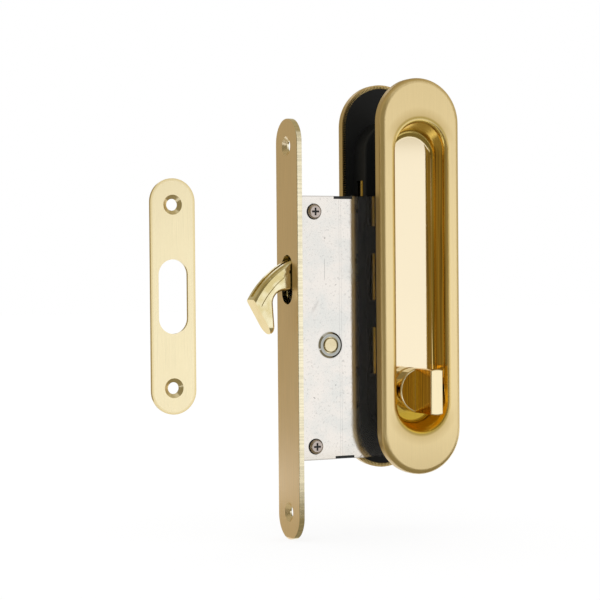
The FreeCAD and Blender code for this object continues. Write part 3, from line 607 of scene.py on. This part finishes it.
def pull_brass(name):
    finish, tree, shader, place = start_finish(name)
    parts = split(tree, place["Object"])

    # Where a point lies: its reach from the oval's middle line, its depth, and how far into the recess's ends.
    across = worked(tree, "SUBTRACT", parts[0], PULL_X)
    along = past_straight(tree, parts[2], PULL_Z, PAN_STRAIGHT)
    reach = flat_length(tree, across, along)
    depth = worked(tree, "ABSOLUTE", parts[1])
    recess = faded(tree, reach, RECESS_REACH)
    wall = worked(tree, "MULTIPLY", faded(tree, depth, WALL_DEPTH), faded(tree, depth, MOUTH_DEPTH))
    past_floor = past_straight(tree, parts[2], PULL_Z + FLOOR_SHIFT, FLOOR_STRAIGHT)
    bend = faded(tree, flat_length(tree, across, past_floor), BEND_REACH)
    wall = worked(tree, "MULTIPLY", worked(tree, "MAXIMUM", wall, bend), recess)
    end = faded(tree, past_floor, END_REACH)
    bowl = worked(tree, "MULTIPLY", end, wall)
    lower = faded(tree, parts[2], LOWER_END)

    # Grain: the brushing of the face, the drawing lines of the walls, and a slow swirl in the ends.
    upright_lines = stretched(tree, place["Object"], LINES_UPRIGHT)
    lines = speckle(tree, upright_lines, FACE_SCALE, 3.0)
    draw = speckle(tree, upright_lines, DRAW_SCALE, 2.0)
    swirl = speckle(tree, place["Object"], SWIRL_SCALE, 0.0)

    # Face: gold with the brushing, with painted shade round the recess's ends and on the outer rim, and a deeper gold
    # on the lip, partly its own tone and partly painted shade, darkest at the ends.
    capped = faded(tree, along, CAP_REACH)
    # Painted shade: a darker gold on the face round the recess's ends.
    end_shade = worked(tree, "MULTIPLY", faded(tree, reach, RECESS_END_SHADE_REACH, (0.55, 0.0)), capped)
    # Painted shade: a darker gold on the outer rim.
    rim = worked(tree, "MULTIPLY", faded(tree, reach, RIM_SHADE_REACH), faded(tree, depth, RIM_SHADE_DEPTH))
    face = shaded(tree, FACE_GOLD[:3], faded(tree, lines, BRUSH_SPREAD, (0.975, 1.025)))
    face = tinted(tree, end_shade, face, RECESS_END_SHADE_GOLD)
    # The lip: a deeper gold, partly its own tone and partly painted shade, darker still at the recess's ends.
    face = tinted(tree, faded(tree, reach, LIP_REACH), face, tinted(tree, capped, LIP_GOLD, LIP_SHADE))
    face = tinted(tree, rim, face, RIM_SHADE_GOLD)

    # Recess: pale floor, streaked walls, and ends with painted shade at their foot.
    walls = shaded(tree, WALL_GOLD[:3], faded(tree, draw, (0.36, 0.62), (0.50, 1.20)))
    # Painted shade: the ends darken where they meet the floor.
    foot = faded(tree, depth, FOOT_SHADE_DEPTH, (0.62, 1.0))
    ends = shaded(tree, tinted(tree, lower, END_GOLD, LOW_GOLD), foot)
    floor = tinted(tree, lower, FLOOR_GOLD, LOW_GOLD)
    inside = tinted(tree, wall, floor, tinted(tree, end, walls, ends))

    # Hidden side: between the pan and the rim, behind the face.
    hidden = worked(tree, "MULTIPLY", faded(tree, reach, HIDDEN_INNER), faded(tree, depth, HIDDEN_DEPTH, (1.0, 0.0)))
    hidden = worked(tree, "MULTIPLY", hidden, faded(tree, reach, HIDDEN_OUTER, (1.0, 0.0)))
    tone = tinted(tree, hidden, tinted(tree, recess, face, inside), BACK_GOLD)

    # Gloss: fine brushing outside, drawing lines inside, and a lean of the ends that stands for their bowl shape.
    rough = between(tree, recess, FACE_ROUGHNESS, faded(tree, bowl, (0.0, 1.0), RECESS_ROUGHNESS))
    brush = pressed(tree, between(tree, recess, lines, 0.5), 0.10, 0.0001)
    curl = worked(tree, "MULTIPLY", worked(tree, "MULTIPLY", swirl, end), SWIRL_HEIGHT)
    drawn = worked(tree, "MULTIPLY", worked(tree, "ADD", draw, curl), wall)
    bump = pressed(tree, drawn, 0.12, 0.0003, Normal=brush)
    outward = worked(tree, "MULTIPLY", worked(tree, "SIGN", parts[1]), lower)
    outward = worked(tree, "MULTIPLY", outward, LOWER_LEAN)
    outward = add_node(tree, "ShaderNodeCombineXYZ", {1: outward}).outputs[0]
    lean = shaded(tree, moved(tree, "ADD", outward, BOWL_LEAN), bowl)
    lean = moved(tree, "NORMALIZE", moved(tree, "ADD", bump, lean))
    set_sockets(tree, shader, {"Base Color": tone, "Roughness": rough, "Normal": lean, "Metallic": 1.0})
    return finish


dress(pull_brass("pull_shell_brass"), "front_pull_shell", "back_pull_shell")

# Crimped rims: the edge of each skin is cut into small teeth that are folded over the black backing.
# The teeth are the same brass, dulled by the press.
RIM_HALF = 0.0204
RIM_STRAIGHT = 0.070
SEAT_Y = 0.0165
TOOTH_PITCH = 0.00082
TOOTH_WIDTH = 0.00050
TOOTH_REACH = 0.0017
TOOTH_THICK = 0.00022
TOOTH_LIFT = 0.00001
TOOTH_GOLD = (0.90, 0.72, 0.36, 1.0)
TOOTH_DEEP = (0.74, 0.56, 0.24, 1.0)
TOOTH_ROUGHNESS = 0.30
TOOTH_RIPPLE = 0.05

tooth_brass = polished_brass("crimped_brass", TOOTH_GOLD, TOOTH_DEEP, TOOTH_GOLD,
                             TOOTH_ROUGHNESS, TOOTH_RIPPLE, PATCH_SPREAD)


def cap_point(angle, end):
    outward = Vector((math.cos(angle), math.sin(angle)))
    return Vector((RIM_HALF * outward.x, end + RIM_HALF * outward.y)), outward


def rim_point(distance):
    cap = math.pi * RIM_HALF
    side = 2 * RIM_STRAIGHT
    if distance < side:
        return Vector((RIM_HALF, distance - RIM_STRAIGHT)), Vector((1, 0))
    if distance < side + cap:
        return cap_point((distance - side) / RIM_HALF, RIM_STRAIGHT)
    if distance < 2 * side + cap:
        return Vector((-RIM_HALF, RIM_STRAIGHT - (distance - side - cap))), Vector((-1, 0))
    return cap_point(math.pi + (distance - 2 * side - cap) / RIM_HALF, -RIM_STRAIGHT)


def rim_teeth(name, face):
    rim_length = 2 * (math.pi * RIM_HALF + 2 * RIM_STRAIGHT)
    count = int(rim_length / TOOTH_PITCH)
    points = []
    faces = []
    for i in range(count):
        middle, outward = rim_point(i * rim_length / count)
        side = Vector((-outward.y, outward.x))
        base = len(points)
        for y, reach, half in ((SEAT_Y - TOOTH_THICK, TOOTH_REACH * 0.85, TOOTH_WIDTH * 0.36),
                               (SEAT_Y - TOOTH_LIFT, TOOTH_REACH, TOOTH_WIDTH / 2)):
            for inward, turn in ((0, -1), (0, 1), (reach, 1), (reach, -1)):
                corner = middle - outward * inward + side * turn * half
                points.append((PULL_X + corner.x, face * y, PULL_Z + corner.y))
        sides = [(0, 1, 2, 3), (7, 6, 5, 4), (1, 0, 4, 5), (2, 1, 5, 6), (3, 2, 6, 7), (0, 3, 7, 4)]
        faces += [tuple(base + k for k in (ring if face < 0 else ring[::-1])) for ring in sides]
    solid_piece(name, points, faces, tooth_brass, "lock")


rim_teeth("front_rim_crimp", -1)
rim_teeth("back_rim_crimp", 1)

# Thumb turn and release: turned and milled brass, polished, on shafts through the pan floors.
# The turn's grip stands across its drum; its milled flanks are a deeper gold, with the cutter's upright lines.
# The drum's face keeps faint rings from the lathe.
TURN_X = 0.0549
TURN_Z = -0.0287
GRIP_HALF = (0.0032, 0.0036)
GRIP_FRONT = (-0.0352, -0.0349)
GRIP_BACK = (-0.0201, -0.0198)
DRUM_FACE = (-0.01992, -0.01986)
TURN_GOLD = (0.96, 0.84, 0.56, 1.0)
TURN_DEEP = (0.93, 0.79, 0.49, 1.0)
FLANK_GOLD = (0.98, 0.56, 0.04, 1.0)
CUTTER_LINES = (1.0, 1.0, 0.03)
CUTTER_SCALE = 900.0
CUTTER_TONES = (0.62, 1.20)
LATHE_SCALE = 1100.0
LATHE_TONES = (0.90, 1.0)
TURN_CLOUD_SCALE = 150.0
TURN_ROUGHNESS = (0.05, 0.09)


def turn_brass(name):
    finish, tree, shader, place = start_finish(name)
    parts = split(tree, place["Object"])
    across = off_line(tree, parts[0], TURN_X)
    drum = faded(tree, parts[1], DRUM_FACE)
    flank = worked(tree, "MULTIPLY", faded(tree, parts[1], GRIP_FRONT), faded(tree, parts[1], GRIP_BACK, (1.0, 0.0)))
    flank = worked(tree, "MULTIPLY", flank, faded(tree, across, GRIP_HALF, (1.0, 0.0)))
    flank = worked(tree, "MULTIPLY", flank, worked(tree, "SUBTRACT", 1.0, drum))
    lines = speckle(tree, stretched(tree, place["Object"], CUTTER_LINES), CUTTER_SCALE, 2.0)
    clouds = speckle(tree, place["Object"], TURN_CLOUD_SCALE, 2.0)
    reach = flat_length(tree, across, worked(tree, "SUBTRACT", parts[2], TURN_Z))
    rings = add_node(tree, "ShaderNodeTexNoise", {"W": reach, "Scale": LATHE_SCALE, "Detail": 1.0},
                     noise_dimensions="1D").outputs["Fac"]
    plain = tinted(tree, clouds, TURN_GOLD, TURN_DEEP)
    turned = shaded(tree, plain, faded(tree, rings, RIB_SPREAD, LATHE_TONES))
    milled = shaded(tree, FLANK_GOLD[:3], faded(tree, lines, RIB_SPREAD, CUTTER_TONES))
    tone = tinted(tree, flank, tinted(tree, drum, plain, turned), milled)
    ripple = worked(tree, "MULTIPLY", lines, flank)
    set_sockets(tree, shader, {"Base Color": tone, "Roughness": faded(tree, clouds, BRUSH_SPREAD, TURN_ROUGHNESS),
                               "Normal": pressed(tree, ripple, 0.25, 0.0003), "Metallic": 1.0})
    return finish


dress(turn_brass("turn_brass"), "thumb_turn", "emergency_release")
